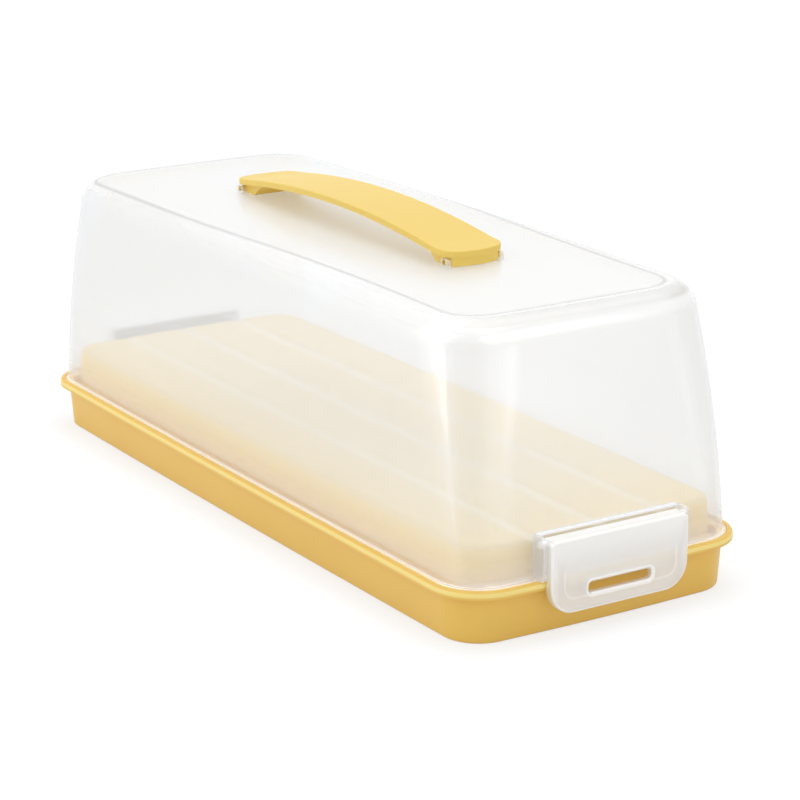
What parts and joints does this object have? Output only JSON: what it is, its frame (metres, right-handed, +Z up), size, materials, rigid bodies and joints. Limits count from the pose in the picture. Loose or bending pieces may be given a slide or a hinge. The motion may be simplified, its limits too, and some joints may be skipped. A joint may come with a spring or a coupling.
{
  "type": "cake container",
  "caption": "Long cake carrier: shallow tray with a raised platform, clear hood that lifts off, swing clips at both ends and an arched carry handle on top.",
  "frame": {"origin": "bottom centre of the whole container, on the surface it stands on", "axes": "+X along the length, towards the clip called right_clip; +Y across the width; +Z up. The picture looks from +X and -Y."},
  "size_m": [0.3814, 0.1428, 0.1371],
  "materials": {
    "yellow_plastic": "satin injection-moulded polypropylene",
    "clear_plastic": "clear, slightly milky polypropylene",
    "milky_plastic": "milky translucent polypropylene, satin"
  },
  "bodies": {
    "base": {"base_tray": "yellow_plastic"},
    "hood": {"hood": "clear_plastic", "handle": "yellow_plastic"},
    "right_clip": {"right_clip": "milky_plastic"},
    "left_clip": {"left_clip": "milky_plastic"}
  },
  "joints": [
    {"name": "hood_lift", "type": "slide", "parent": "base", "child": "hood", "axis": [0, 0, 1], "range_m": [0, 0.13]},
    {"name": "right_clip_hinge", "type": "hinge", "parent": "hood", "child": "right_clip", "pos_m": [0.1851, 0, 0.0382], "axis": [0, -1, 0], "range_deg": [0, 95]},
    {"name": "left_clip_hinge", "type": "hinge", "parent": "hood", "child": "left_clip", "pos_m": [-0.1851, 0, 0.0382], "axis": [0, 1, 0], "range_deg": [0, 95]}
  ]
}
